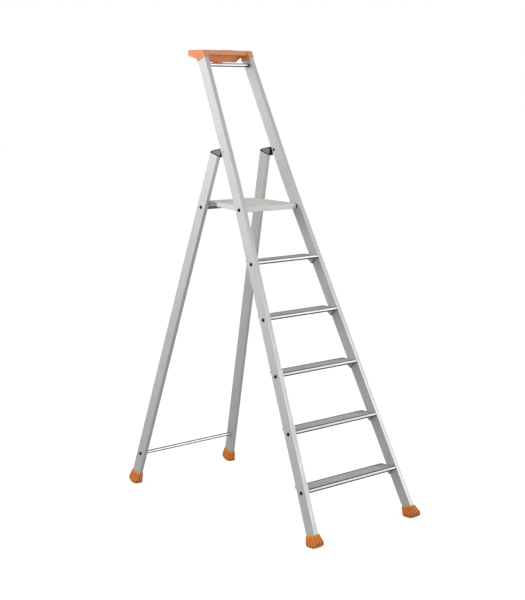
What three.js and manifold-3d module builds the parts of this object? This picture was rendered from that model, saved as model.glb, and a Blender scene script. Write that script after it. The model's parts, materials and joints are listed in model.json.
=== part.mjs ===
// Platform step ladder, standing open. Millimetres, +Z up, climbing side facing -Y.
// The origin is on the floor under the middle of the open ladder.
import * as THREE from 'three';
import { mergeVertices } from 'three/addons/utils/BufferGeometryUtils.js';
import Module from 'manifold-3d';

const wasm = await Module();
wasm.setup();

const { clamp, degToRad } = THREE.MathUtils;

// ---- Driving dimensions ----------------------------------------------------
const GAP = 0.3;                 // clearance between pieces that touch
const PAST = 5;                  // how far a cut runs past the piece that it opens
const SEGMENTS = 14;             // around bolts and tubes
const SIDES = { left: -1, right: 1 };
const TREADS = 5;
const PITCH = 240;               // from one tread to the next
const FIRST_TREAD = 232;         // top of the lowest tread above the floor
const BOLT_DROP = 13;            // tread and platform bolts below the walking surface

// Front frame: stiles lean back and flare towards the floor, bending below the guard rail.
const FRONT_LEAN = degToRad(24.42);
const FRONT_LINE_Y = -692.4;     // where the stiles' front faces would meet the floor
const STILE = { width: 24, depth: 53.5, wall: 2.2, start: 38, end: 2337 };
const FLARE = { halfAtFloor: 324.9, taper: 0.0870, guardTaper: 0.0437 };
const BEND = { from: 1535, to: 1798, steps: 8 };
const GROOVE = { width: 5, depth: 1 };

// Rear frame, drawn about the hinge axis: distances along the leg run up from it.
const REAR_LEAN = degToRad(16.0);
const HINGE = { height: 1682, depth: 42 };
const LEG = { width: 21.2, depth: 53.7, wall: 2, setback: 37.7, topHalf: 162.8, taper: 0.0884 };
const LEG_TOP = -35;
const LEG_BOTTOM = -1733;
const CROSSBAR = { depth: 28, height: 32.5, wall: 2.2, offset: [136, -260.5], bolt: [144, -267.5] };
const BAR_GROOVE = { half: 4, depth: 1, slope: 0.5 };
const TUBE_ALONG = -1605;

// Platform, drawn about its pivot.
const PLATFORM_TILT = degToRad(2.4);
const DECK = { front: -8, rear: 292, top: 12, plate: 3, bottom: -13, half: 157.2, taper: 0.055 };
const DECK_BOX = 32;             // depth of the hollow front edge of the deck
const DECK_WEBS = [115, 200];
const SIDE_PLATE = { thickness: 3, rear: 210, top: 13.5, level: 40, rise: 5, hole: 4.6 };

const TREAD = { depth: 92.5, plate: 3, nose: 14, back: 12, skirt: 4, setback: 0.8 };
const NOSE_GROOVE = { from: 9.4, depth: 1 };
const TREAD_RIBS = { from: 13, pitch: 8.2, height: 1 };
const DECK_RIBS = { from: 16, pitch: 10.2, height: 1 };
const BRACKET = {
  thickness: 3, top: -3.6, front: 8, rear: 85, foot: -41, footFrom: 40, footTo: 47,
  frontEdge: 3.4, rearEdge: 5.4,
};

const RAIL = { radius: 8.5, wall: 1.8, height: 2083, collar: 10.4, collarWidth: 4 };
const TRAY = {
  front: 283, rear: 395, bottom: 2130, top: 2152, half: 154.5, wall: 3, corner: 9, socket: 2101,
};
const SLEEVE = { wall: 2.6, from: 2288, to: 2360, boreFrom: 2270 };
const APRON = { y: 319, thickness: 3, bottom: 2097, halfBottom: 82, halfTop: 128 };
const CLIP = { from: -62, to: -34, reach: 6, edge: 2 };
const TOOL_HOLE = { at: [-27, 0, 27], radius: 6.5, collar: 9.5, setback: 11.5, height: 9 };
const LIP = { half: 34, height: 1.6 };

// Fasteners: shank radius, hole radius, and the head outside the face.
const SHANK_PAST = 8;            // tread bolts run past the stile into the bracket
const BOLT = { shank: 3.8, hole: 4.3, head: 8.5, rim: 2.6, dome: 0.7, height: 4.6 };
const PIN = { shank: 4, hole: 4.5, head: 6.5, cheek: 2.4, clearance: 0.4 };
const PIVOT = { shank: 4, hole: 4.5, length: 42, bush: 12, bore: 4.4, clearance: 1.4 };
const SCREW = { x: 155, above: 9, head: 4.6, rim: 1.6, crown: 2.6, height: 3 };
const HINGE_SLOT = { below: 25, above: 27, width: 13 };
const TONGUE = { radius: 10, thickness: 11, reach: 30, bore: 4.4 };
const CAP_FRONT = 18;            // of the hinge cap's block, behind the hinge axis

// Shoes: the sole rocks up towards the toe, and the walls flare from the mouth downwards.
const SHOE = { lip: 4, rearMouth: 56 };
const FRONT_SHOE = { mouth: 64, rise: 7, flareTo: 26, flare: 12 };
const REAR_SHOE = { flareTo: 20, flare: 11 };

// ---- Materials -------------------------------------------------------------
const material = (color, roughness, metalness) =>
  new THREE.MeshStandardMaterial({ color, roughness, metalness });
const aluminium = material(0xcfd0d0, 0.35, 0.9);
const treadMetal = material(0xb9b5b2, 0.45, 0.85);
const deckMetal = material(0xc9c5be, 0.55, 0.6);
const orange = material(0xe08a52, 0.5, 0);
const shoeOrange = material(0xc8702e, 0.6, 0);
const blackSteel = material(0x1c1c1e, 0.5, 0.4);
const blackPlastic = material(0x26282a, 0.6, 0);
const bracketMetal = material(0xc4c6c6, 0.5, 0.8);
const rivetMetal = material(0xb0b2b4, 0.4, 0.9);

// ---- Geometry helpers ------------------------------------------------------
function solid(geometry) {
  const bare = geometry.clone();
  bare.deleteAttribute('normal');
  bare.deleteAttribute('uv');
  const merged = mergeVertices(bare, 1e-4);
  const mesh = new wasm.Mesh({
    numProp: 3,
    vertProperties: new Float32Array(merged.attributes.position.array),
    triVerts: new Uint32Array(merged.index.array),
  });
  return new wasm.Manifold(mesh);
}

function surface(body) {
  const mesh = body.getMesh();
  const geometry = new THREE.BufferGeometry();
  geometry.setAttribute('position', new THREE.BufferAttribute(mesh.vertProperties, 3));
  geometry.setIndex(new THREE.BufferAttribute(mesh.triVerts, 1));
  geometry.computeVertexNormals();
  return geometry;
}

const cut = (geometry, ...tools) =>
  surface(tools.reduce((body, tool) => body.subtract(solid(tool)), solid(geometry)));
const join = (...geometries) =>
  surface(geometries.slice(1).reduce((body, g) => body.add(solid(g)), solid(geometries[0])));

const outline = (points) => new THREE.Shape(points.map(([a, b]) => new THREE.Vector2(a, b)));

function addPiece(parent, name, geometry, look) {
  const mesh = new THREE.Mesh(geometry, look);
  mesh.name = name;
  parent.add(mesh);
  return mesh;
}

// A side-view section in (y, z), carried along x from one end face to the other. Each end
// face is a function of y and z, so an end can follow a sloping stile or leg.
function span(shape, lowX, highX) {
  const geometry = new THREE.ExtrudeGeometry(shape, {
    depth: 1, bevelEnabled: false, curveSegments: SEGMENTS / 2,
  });
  const toYZ = new THREE.Matrix4().makeBasis(
    new THREE.Vector3(0, 1, 0), new THREE.Vector3(0, 0, 1), new THREE.Vector3(1, 0, 0));
  geometry.applyMatrix4(toYZ);
  const at = geometry.attributes.position;
  for (let i = 0; i < at.count; i += 1) {
    const end = at.getX(i) > 0.5 ? highX : lowX;
    at.setX(i, end(at.getY(i), at.getZ(i)));
  }
  return geometry;
}

// The same section between two faces of the right-hand side, mirrored for the left.
function sideSpan(side, shape, innerX, outerX) {
  return side > 0
    ? span(shape, innerX, outerX)
    : span(shape, (y, z) => -outerX(y, z), (y, z) => -innerX(y, z));
}

// A front-view strip between two x edges given along z, carried through a depth in y.
function strip(side, inner, outer, from, to, front, back, extra = []) {
  const stops = [from, ...extra.filter((z) => z > from && z < to), to];
  const points = [
    ...stops.map((z) => [side * outer(z), z]),
    ...stops.toReversed().map((z) => [side * inner(z), z]),
  ];
  const geometry = new THREE.ExtrudeGeometry(outline(points), {
    depth: back - front, bevelEnabled: false,
  });
  geometry.rotateX(Math.PI / 2);
  geometry.translate(0, back, 0);
  return geometry;
}

// A turned piece on the x axis: [radius, x] points from the axis back to the axis.
function turned(profile) {
  const points = profile.map(([radius, x]) => new THREE.Vector2(radius, x));
  const geometry = new THREE.LatheGeometry(points, SEGMENTS);
  geometry.rotateZ(-Math.PI / 2);
  return geometry;
}

function rod(radius, from, to) {
  const geometry = new THREE.CylinderGeometry(radius, radius, to - from, SEGMENTS);
  geometry.rotateZ(Math.PI / 2);
  geometry.translate((from + to) / 2, 0, 0);
  return geometry;
}

const circle = (radius, y = 0, z = 0) => {
  const shape = new THREE.Shape();
  shape.absarc(y, z, radius, 0, 2 * Math.PI, false);
  return shape;
};

function ring(outer, inner, y = 0, z = 0) {
  const shape = circle(outer, y, z);
  shape.holes.push(circle(inner, y, z));
  return shape;
}

// A bolt along +x or -x: domed head outside the face at x = 0, shank inside it.
function bolt(side, length, radius = BOLT.shank) {
  const geometry = turned([
    [0, -length], [radius, -length], [radius, GAP], [BOLT.head, GAP],
    [BOLT.head, BOLT.rim], [BOLT.head * BOLT.dome, BOLT.height - 0.4], [0, BOLT.height],
  ]);
  if (side < 0) geometry.rotateZ(Math.PI);
  return geometry;
}

// Low ribs along a walking surface, up to its far end, with tops at height z.
function ribs({ from, pitch, height }, to, z) {
  const count = Math.floor((to - from) / pitch);
  const points = [];
  for (let i = 0; i < count; i += 1) {
    const start = from + i * pitch;
    const end = start + pitch * 0.55;
    points.push([start, z - height], [start + 0.3, z], [end, z], [end + 0.3, z - height]);
  }
  return points;
}

// A box from one corner to the other.
function box([x0, y0, z0], [x1, y1, z1]) {
  const geometry = new THREE.BoxGeometry(x1 - x0, y1 - y0, z1 - z0);
  geometry.translate((x0 + x1) / 2, (y0 + y1) / 2, (z0 + z1) / 2);
  return geometry;
}

// An upright block, as wide on both sides of x = 0, with its four corners rounded.
function roundedBlock(half, y0, y1, z0, z1, radius) {
  const quarter = Math.PI / 2;
  const shape = new THREE.Shape();
  [[1, y0], [1, y1], [-1, y1], [-1, y0]].forEach(([side, y], i) => {
    const centreY = y === y0 ? y0 + radius : y1 - radius;
    shape.absarc(side * (half - radius), centreY, radius, (i - 1) * quarter, i * quarter, false);
  });
  const geometry = new THREE.ExtrudeGeometry(shape, {
    depth: z1 - z0, bevelEnabled: false, curveSegments: 5,
  });
  geometry.translate(0, 0, z0);
  return geometry;
}

// ---- Front frame -----------------------------------------------------------
const ladder = new THREE.Group();
const front = new THREE.Group();
front.position.y = FRONT_LINE_Y;
front.rotation.x = -FRONT_LEAN;
ladder.add(front);

// Half the width over the stiles' outer faces, at a distance along the stile.
function stileOuter(along) {
  const length = BEND.to - BEND.from;
  const bent = clamp((along - BEND.from) / length, 0, 1);
  const lower = Math.min(along, BEND.from) + length * (bent - bent * bent / 2);
  const upper = Math.max(along - BEND.to, 0) + length * (bent * bent / 2);
  return FLARE.halfAtFloor - FLARE.taper * lower - FLARE.guardTaper * upper;
}
const stileInner = (along) => stileOuter(along) - STILE.width;
const stileSlope = (along) =>
  Math.atan(stileOuter(along - 0.5) - stileOuter(along + 0.5));

const bendStops = Array.from({ length: BEND.steps + 1 }, (_, i) =>
  BEND.from + (BEND.to - BEND.from) * (i / BEND.steps));

// Distance along the stile, and world y, of a point at a height and depth in the stile.
const alongAt = (height, depth) => (height + depth * Math.sin(FRONT_LEAN)) / Math.cos(FRONT_LEAN);
const worldY = (along, depth) =>
  FRONT_LINE_Y + along * Math.sin(FRONT_LEAN) + depth * Math.cos(FRONT_LEAN);
const alongOf = (y, z) => (y - FRONT_LINE_Y) * Math.sin(FRONT_LEAN) + z * Math.cos(FRONT_LEAN);
const betweenStiles = (y, z) => stileInner(alongOf(y, z)) - GAP;

const MID_DEPTH = STILE.depth / 2;
const treadTop = (k) => FIRST_TREAD + k * PITCH;
const boltAlong = (k) => alongAt(treadTop(k) - BOLT_DROP, MID_DEPTH);

// A frame on a stile's outer face, turned so that its x axis is square to the face.
function onStile(side, along, depth) {
  const group = new THREE.Group();
  group.position.set(side * stileOuter(along), depth, along);
  group.rotation.y = -side * stileSlope(along);
  front.add(group);
  return group;
}

// A hole through a member whose outer face slopes, about its middle.
function slopedHole(side, slope, outer, depth, along) {
  const hole = rod(BOLT.hole, -STILE.width * 2, STILE.width * 2);
  hole.rotateY(-side * slope);
  hole.translate(side * outer, depth, along);
  return hole;
}

const pivotAlong = boltAlong(TREADS);
const hingeAlong = alongAt(HINGE.height, HINGE.depth);
const hingeY = worldY(hingeAlong, HINGE.depth);
const stileMiddle = (along) => stileOuter(along) - STILE.width / 2;

function crossHole(side, along, depth, radius) {
  const hole = rod(radius, -STILE.width, STILE.width);
  hole.translate(side * stileMiddle(along), depth, along);
  return hole;
}

// A strip of a given width down the middle of a member's face.
function middleStrip(side, middle, width, ...rest) {
  return strip(side, (z) => middle(z) - width / 2, (z) => middle(z) + width / 2, ...rest);
}

function stile(side) {
  const { wall, depth, start, end } = STILE;
  const body = strip(side, stileInner, stileOuter, start, end, 0, depth, bendStops);
  const hollow = strip(side, (z) => stileInner(z) + wall, (z) => stileOuter(z) - wall,
    start - PAST, end + PAST, wall, depth - wall, bendStops);
  const groove = middleStrip(side, stileMiddle, GROOVE.width,
    start - PAST, end + PAST, -PAST, GROOVE.depth, bendStops);
  const slot = middleStrip(side, stileMiddle, HINGE_SLOT.width,
    hingeAlong - HINGE_SLOT.below, hingeAlong + HINGE_SLOT.above, depth - wall - 1, depth + PAST);
  const holes = Array.from({ length: TREADS }, (_, k) =>
    slopedHole(side, stileSlope(boltAlong(k)), stileOuter(boltAlong(k)), MID_DEPTH, boltAlong(k)));
  return cut(body, hollow, groove, slot, ...holes,
    crossHole(side, pivotAlong, MID_DEPTH, PIVOT.hole),
    crossHole(side, hingeAlong, HINGE.depth, PIN.hole));
}

// ---- Treads ----------------------------------------------------------------
const noseY = (k) => FRONT_LINE_Y + treadTop(k) * Math.tan(FRONT_LEAN) - TREAD.setback;

function treadSection(k) {
  const { depth, plate, nose, back, skirt } = TREAD;
  const points = [
    [0, -nose + 1.5], [1.5, -nose], [skirt, -nose], [skirt, -plate],
    [depth - skirt, -plate], [depth - skirt, -back], [depth, -back], [depth, -1], [depth - 1, 0],
    ...ribs(TREAD_RIBS, depth - skirt, 0).toReversed(),
    [NOSE_GROOVE.from, -NOSE_GROOVE.depth], [NOSE_GROOVE.from, 0], [3.5, 0], [1, -1], [0, -3.5],
  ];
  return outline(points.map(([dy, dz]) => [noseY(k) + dy, treadTop(k) + dz]));
}

const tread = (k) => span(treadSection(k), (y, z) => -betweenStiles(y, z), betweenStiles);

// Gusset plate under a tread's end, against the stile's inner face. It is drawn level,
// from the nose and the walking surface, and turned into the bolt's own frame.
function bracket(side, k) {
  const { thickness, top, front: near, rear: far, foot, footFrom, footTo } = BRACKET;
  const corners = [[near, top], [near, top - BRACKET.frontEdge], [footFrom, foot],
    [footTo, foot], [far, top - BRACKET.rearEdge], [far, top]];
  const section = corners.map(([dy, dz]) => {
    const y = noseY(k) + dy - worldY(boltAlong(k), MID_DEPTH);
    const z = dz + BOLT_DROP;
    return [
      y * Math.cos(FRONT_LEAN) - z * Math.sin(FRONT_LEAN),
      y * Math.sin(FRONT_LEAN) + z * Math.cos(FRONT_LEAN),
    ];
  });
  const outerX = -STILE.width - GAP;
  const plate = sideSpan(side, outline(section), () => outerX - thickness, () => outerX);
  return cut(plate, rod(BOLT.hole, -STILE.width * 2, STILE.width * 2));
}

// ---- Shoes -----------------------------------------------------------------
// A shoe's side outline is given in the frame of the member that it is pushed onto.
function shoe(side, points, outer, inner, mouth, { flareTo, flare }, pocket) {
  const spread = (z) => {
    const share = clamp((mouth - z) / (mouth - flareTo), 0, 1);
    return SHOE.lip + (flare - SHOE.lip) * share;
  };
  const body = sideSpan(side, outline(points),
    (_, z) => inner(z) - spread(z), (_, z) => outer(z) + spread(z));
  return cut(body, pocket);
}

// Points in a member's frame at depths and heights above the floor, where the member's
// own origin is at a height and leans by an angle.
const overFloor = (originHeight, lean, points) => points.map(([depth, height]) => [
  depth, (height - originHeight - depth * Math.sin(lean)) / Math.cos(lean),
]);

function frontShoe(side) {
  const { mouth, rise } = FRONT_SHOE;
  const { depth, start } = STILE;
  const sole = overFloor(0, -FRONT_LEAN, [
    [-19, 32], [-12, 21], [-2, 11], [11, 4], [24, 0.8], [32, 0], [depth - 3, 0], [depth + 12, 6],
  ]);
  const points = [[-SHOE.lip, mouth], ...sole, [depth + 13, 48],
    [depth + SHOE.lip, mouth + rise]];
  const pocket = strip(side, (z) => stileInner(z) - GAP, (z) => stileOuter(z) + GAP,
    start - GAP, mouth + rise + PAST, -GAP, depth + GAP);
  return shoe(side, points, stileOuter, stileInner, mouth, FRONT_SHOE, pocket);
}

// ---- Tool tray -------------------------------------------------------------
// The stile's own outline grown by a margin, in world space, for the tray's sockets.
function stileSleeve(side, margin, from, to) {
  const sleeve = strip(side, (z) => stileInner(z) - margin, (z) => stileOuter(z) + margin,
    from, to, -margin, STILE.depth + margin);
  sleeve.rotateX(-FRONT_LEAN);
  sleeve.translate(0, FRONT_LINE_Y, 0);
  return sleeve;
}

const railY = worldY(alongAt(RAIL.height, MID_DEPTH), MID_DEPTH);

// Side skirts that run from the sockets to the back corners, as a ring cut to a slope.
function traySkirts() {
  const { front: y0, rear: y1, bottom, half, corner, socket } = TRAY;
  const thickness = 4;
  const ring = solid(roundedBlock(half, y0, y1, socket, bottom + 1, corner))
    .subtract(solid(roundedBlock(half - thickness, y0 + thickness, y1 - thickness,
      socket - PAST, bottom + PAST, corner - thickness)));
  const below = outline([
    [y0 - PAST, bottom], [y0 + 34, bottom], [y0 + 31, socket], [y0 + 40, socket + 6],
    [y1 - 43, bottom - 13], [y1 - 8, bottom - 6], [y1 + PAST, bottom],
    [y1 + PAST, socket - PAST], [y0 - PAST, socket - PAST],
  ]);
  return ring.subtract(solid(span(below, () => -half - PAST, () => half + PAST)));
}

// Plate below the tray's floor, wider at the top, seen between the stiles.
function trayApron() {
  const { y, thickness, bottom, halfBottom, halfTop } = APRON;
  const shape = outline([[-halfTop, TRAY.bottom + 1], [-halfBottom - 4, bottom + 2],
    [-halfBottom + 4, bottom], [halfBottom - 4, bottom], [halfBottom + 4, bottom + 2],
    [halfTop, TRAY.bottom + 1]]);
  const plate = new THREE.ExtrudeGeometry(shape, { depth: thickness, bevelEnabled: false });
  plate.rotateX(Math.PI / 2);
  plate.translate(0, y + thickness, 0);
  return plate;
}

// Clip that reaches from the apron over the top rail, its tip rounded off.
function trayClip() {
  const { from, to, reach, edge } = CLIP;
  const low = RAIL.height + RAIL.radius + GAP;
  const high = APRON.bottom + 1;
  const tip = railY - reach;
  return span(outline([
    [tip, low + edge / 2], [tip + edge, low], [APRON.y + 1, low], [APRON.y + 1, high],
    [tip + edge, high], [tip, high - edge],
  ]), () => from, () => to);
}

// An upright cylinder round one of the tray's tool holes.
function toolCylinder(x, radius, height) {
  const cylinder = new THREE.CylinderGeometry(radius, radius, height, SEGMENTS);
  cylinder.rotateX(Math.PI / 2);
  cylinder.translate(x, TRAY.front + TOOL_HOLE.setback, TRAY.bottom);
  return cylinder;
}

function toolTray() {
  const { front: y0, rear: y1, bottom, top, half, wall, corner, socket } = TRAY;
  const sides = Object.values(SIDES);
  let tray = solid(roundedBlock(half, y0, y1, bottom, top, corner)).add(traySkirts());
  for (const side of sides) {
    tray = tray.add(solid(stileSleeve(side, SLEEVE.wall, SLEEVE.from, SLEEVE.to)));
  }
  // Both sockets end on one slope, lower at the back.
  const under = outline([[y0 - 80, socket + 50], [y0 - 80, socket - 90],
    [y1 + 80, socket - 90], [y1 + 80, socket - 80], [y0 + 36, socket - 1]]);
  tray = tray.subtract(solid(span(under, () => -half - PAST, () => half + PAST)));
  tray = tray.add(solid(trayApron()));
  tray = tray.add(solid(trayClip()));
  for (const x of TOOL_HOLE.at) {
    tray = tray.add(solid(toolCylinder(x, TOOL_HOLE.collar, TOOL_HOLE.height)));
  }
  // Open recess on top, everything above the rim taken off, then the sockets' bores.
  tray = tray.subtract(solid(roundedBlock(half - wall, y0 + wall, y1 - wall,
    bottom + wall, top + PAST, corner - wall)));
  tray = tray.subtract(solid(box([-half - PAST, y0 - 2 * PAST, top], [half + PAST, y1 + PAST, top + 40])));
  tray = tray.add(solid(box([-LIP.half, y0, top - 1], [LIP.half, y0 + wall, top + LIP.height])));
  for (const side of sides) {
    tray = tray.subtract(solid(stileSleeve(side, GAP, SLEEVE.boreFrom, STILE.end + GAP)));
  }
  for (const x of TOOL_HOLE.at) {
    tray = tray.subtract(solid(toolCylinder(x, TOOL_HOLE.radius, 4 * TOOL_HOLE.height)));
  }
  return surface(tray);
}

// ---- Building the front frame ----------------------------------------------
for (const [word, side] of Object.entries(SIDES)) {
  addPiece(front, `front_stile_${word}`, stile(side), aluminium);
  addPiece(front, `front_foot_${word}`, frontShoe(side), shoeOrange);
}
for (let k = 0; k < TREADS; k += 1) {
  addPiece(ladder, `tread_${k + 1}`, tread(k), treadMetal);
  for (const [word, side] of Object.entries(SIDES)) {
    const place = onStile(side, boltAlong(k), MID_DEPTH);
    addPiece(place, `tread_bolt_${k + 1}_${word}`, bolt(side, STILE.width + SHANK_PAST), blackSteel);
    addPiece(place, `tread_bracket_${k + 1}_${word}`, bracket(side, k), bracketMetal);
  }
}

const tubeSection = (y, z) => ring(RAIL.radius, RAIL.radius - RAIL.wall, y, z);
const topRail = span(tubeSection(railY, RAIL.height),
  (y, z) => -betweenStiles(y, z), betweenStiles);
addPiece(ladder, 'top_rail', topRail, aluminium);
for (const [word, side] of Object.entries(SIDES)) {
  const collar = sideSpan(side, ring(RAIL.collar, RAIL.radius + GAP, railY, RAIL.height),
    (y, z) => betweenStiles(y, z) - RAIL.collarWidth, betweenStiles);
  addPiece(ladder, `top_rail_collar_${word}`, collar, blackPlastic);
}
addPiece(ladder, 'tool_tray', toolTray(), orange);

// Hinge pins and platform bolts lie on their joint axes, square to the middle plane.
for (const [word, side] of Object.entries(SIDES)) {
  const { shank, head, cheek, clearance } = PIN;
  const outer = stileOuter(hingeAlong) + clearance;
  const inner = stileInner(hingeAlong) - clearance;
  const pin = turned([[0, inner - cheek], [head, inner - cheek], [head, inner], [shank, inner],
    [shank, outer], [head, outer], [head, outer + cheek], [0, outer + cheek]]);
  if (side < 0) pin.rotateZ(Math.PI);
  addPiece(ladder, `hinge_pin_${word}`, pin, rivetMetal).position.set(0, hingeY, HINGE.height);
}

const pivotZ = treadTop(TREADS) - BOLT_DROP;
const pivotY = worldY(pivotAlong, MID_DEPTH);
for (const [word, side] of Object.entries(SIDES)) {
  const pivotBolt = bolt(side, PIVOT.length, PIVOT.shank);
  pivotBolt.translate(side * (stileOuter(pivotAlong) + PIN.clearance), pivotY, pivotZ);
  addPiece(ladder, `platform_bolt_${word}`, pivotBolt, blackSteel);
  const bush = sideSpan(side, ring(PIVOT.bush, PIVOT.bore, pivotY, pivotZ),
    () => DECK.half + SIDE_PLATE.thickness + PIVOT.clearance, betweenStiles);
  addPiece(ladder, `platform_bush_${word}`, bush, blackPlastic);
}

// ---- Rear frame ------------------------------------------------------------
const rear = new THREE.Group();
rear.position.set(0, hingeY, HINGE.height);
rear.rotation.x = REAR_LEAN;
ladder.add(rear);

const legOuter = (q) => LEG.topHalf - LEG.taper * q;
const legInner = (q) => legOuter(q) - LEG.width;
const legFront = LEG.setback;
const legBack = LEG.setback + LEG.depth;
const legMid = LEG.setback + LEG.depth / 2;
const betweenLegs = (_, q) => legInner(q) - GAP;
const LEG_SLOPE = Math.atan(LEG.taper);

// World directions turned into the rear frame, so that a level piece can be drawn in it.
const intoRear = ([dy, dz]) => [
  dy * Math.cos(REAR_LEAN) + dz * Math.sin(REAR_LEAN),
  -dy * Math.sin(REAR_LEAN) + dz * Math.cos(REAR_LEAN),
];

const TUBE_AT = [legMid, TUBE_ALONG];
const CROSSBAR_AT = intoRear(CROSSBAR.offset);
const CROSSBAR_BOLT = intoRear(CROSSBAR.bolt);

function leg(side) {
  const { wall, width } = LEG;
  const from = LEG_BOTTOM - PAST;
  const to = LEG_TOP + PAST;
  const body = strip(side, legInner, legOuter, LEG_BOTTOM, LEG_TOP, legFront, legBack);
  const hollow = strip(side, (q) => legInner(q) + wall, (q) => legOuter(q) - wall,
    from, to, legFront + wall, legBack - wall);
  const groove = middleStrip(side, (q) => legOuter(q) - width / 2, GROOVE.width,
    from, to, legFront - PAST, legFront + GROOVE.depth);
  const holes = [TUBE_AT, CROSSBAR_BOLT].map(([p, q]) =>
    slopedHole(side, LEG_SLOPE, legOuter(q), p, q));
  return cut(body, hollow, groove, ...holes);
}

// Hinge cap: a plug in the leg, a block over its end, and a tongue round the pin that runs
// in a slot in the stile.
function hingeCap(side) {
  const { radius, thickness, reach, bore } = TONGUE;
  const tongueX = stileMiddle(hingeAlong);
  const tongue = new THREE.Shape();
  tongue.absarc(0, 0, radius, Math.PI * 0.56, Math.PI * 1.42, false);
  tongue.lineTo(reach, -28);
  tongue.lineTo(reach, 4);
  const block = outline([
    [CAP_FRONT, LEG_TOP + GAP], [legBack, LEG_TOP + GAP], [legBack - 1, LEG_TOP + 8],
    [legBack - 5, LEG_TOP + 11], [CAP_FRONT + 7, 7], [CAP_FRONT, 1],
  ]);
  const inset = LEG.wall + GAP;
  const plug = strip(side, (q) => legInner(q) + inset, (q) => legOuter(q) - inset,
    LEG_TOP - 30, LEG_TOP + 1, legFront + inset, legBack - inset);
  const body = join(
    sideSpan(side, block, (_, q) => legInner(q), (_, q) => legOuter(q)),
    sideSpan(side, tongue, () => tongueX - thickness / 2, () => tongueX + thickness / 2),
    plug);
  return cut(body, rod(bore, -LEG.topHalf - PAST, LEG.topHalf + PAST));
}

function rearShoe(side) {
  const [[, base]] = overFloor(HINGE.height, REAR_LEAN, [[legFront, 0]]);
  const mouth = base + SHOE.rearMouth;
  const sole = overFloor(HINGE.height, REAR_LEAN, [
    [legFront - 9, 6], [legFront - 4, 0], [legFront + 18, 0], [legFront + 32, 7],
    [legFront + 49, 19], [legBack + 13, 33],
  ]);
  const points = [[legFront - SHOE.lip, mouth], [legFront - 9, base + 22], ...sole,
    [legBack + SHOE.lip, mouth]];
  const pocket = strip(side, (q) => legInner(q) - GAP, (q) => legOuter(q) + GAP,
    LEG_BOTTOM - GAP, mouth + PAST, legFront - GAP, legBack + GAP);
  const { flareTo, flare } = REAR_SHOE;
  return shoe(side, points, legOuter, legInner, mouth, { flareTo: base + flareTo, flare }, pocket);
}

for (const [word, side] of Object.entries(SIDES)) {
  addPiece(rear, `rear_leg_${word}`, leg(side), aluminium);
  addPiece(rear, `hinge_cap_${word}`, hingeCap(side), blackPlastic);
  addPiece(rear, `rear_foot_${word}`, rearShoe(side), shoeOrange);
  for (const [what, [p, q]] of [['rear_tube', TUBE_AT], ['crossbar', CROSSBAR_BOLT]]) {
    const piece = addPiece(rear, `${what}_bolt_${word}`, bolt(side, LEG.width - 1), blackSteel);
    piece.position.set(side * legOuter(q), p, q);
    piece.rotation.y = -side * LEG_SLOPE;
  }
}

const rearTube = span(tubeSection(...TUBE_AT), (p, q) => -betweenLegs(p, q), betweenLegs);
addPiece(rear, 'rear_tube', rearTube, aluminium);

// Level box profile between the legs; a groove runs along its front face.
function crossbarSection() {
  const { depth, height, wall } = CROSSBAR;
  const { half, depth: deep, slope } = BAR_GROOVE;
  const a = depth / 2;
  const b = height / 2;
  const place = (points) => points.map((point) => {
    const [p, q] = intoRear(point);
    return [CROSSBAR_AT[0] + p, CROSSBAR_AT[1] + q];
  });
  const shape = outline(place([
    [a, -b], [a, b], [-a, b], [-a, half], [-a + deep, half - slope],
    [-a + deep, slope - half], [-a, -half], [-a, -b],
  ]));
  shape.holes.push(outline(place([[-a + wall, -b + wall], [-a + wall, b - wall],
    [a - wall, b - wall], [a - wall, -b + wall]])));
  return shape;
}
addPiece(rear, 'rear_crossbar',
  span(crossbarSection(), (p, q) => -betweenLegs(p, q), betweenLegs), aluminium);

for (const [word, side] of Object.entries(SIDES)) {
  const { x, above, head, rim, crown, height } = SCREW;
  const screw = turned([[0, 0], [head, 0], [head, rim], [crown, height - 0.2], [0, height]]);
  screw.rotateZ(-Math.PI / 2);
  screw.rotateX(-REAR_LEAN);
  const [p, q] = intoRear([-CROSSBAR.depth / 2 - GAP, above]);
  const piece = addPiece(rear, `crossbar_screw_${word}`, screw, blackSteel);
  piece.position.set(side * x, CROSSBAR_AT[0] + p, CROSSBAR_AT[1] + q);
}

// ---- Platform --------------------------------------------------------------
const platform = new THREE.Group();
platform.position.set(0, pivotY, pivotZ);
platform.rotation.x = PLATFORM_TILT;
ladder.add(platform);

const deckHalf = (u) => DECK.half - DECK.taper * u;

function deckSection() {
  const { front: f, rear: r, top, plate, bottom } = DECK;
  const under = top - plate;
  const boxRear = f + DECK_BOX;
  const web = (u) => [[u - plate, under], [u - plate, 0], [u, 0], [u, under]];
  const shape = outline([
    [f + 1.5, bottom], [boxRear, bottom], [boxRear, under], ...DECK_WEBS.flatMap(web),
    [r - plate, under], [r - plate, -2], [r, -2], [r, top - 1.5], [r - 1.5, top],
    ...ribs(DECK_RIBS, r - 6, top).toReversed(),
    [12.5, top - 1], [12.3, top], [f + 6, top], [f + 2, top - 1.5], [f, top - 5], [f, bottom + 1.5],
  ]);
  shape.holes.push(outline([[f + plate, bottom + plate], [f + plate, under - 1.5],
    [boxRear - plate, under - 1.5], [boxRear - plate, bottom + plate]]));
  return shape;
}
addPiece(platform, 'platform_deck',
  span(deckSection(), (u) => -deckHalf(u), deckHalf), deckMetal);

for (const [word, side] of Object.entries(SIDES)) {
  const { front: nose, bottom } = DECK;
  const { thickness, rear: end, top, level, rise, hole } = SIDE_PLATE;
  const shape = outline([[nose, bottom + 3], [nose + 4, bottom], [level, bottom],
    [end, bottom + rise], [end, top], [nose + 8, top], [nose, top - 5.5]]);
  shape.holes.push(circle(hole));
  const plate = sideSpan(side, shape, (u) => deckHalf(u) + GAP,
    (u) => deckHalf(u) + GAP + thickness);
  addPiece(platform, `platform_side_${word}`, plate, deckMetal);
}

export default ladder;
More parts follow.
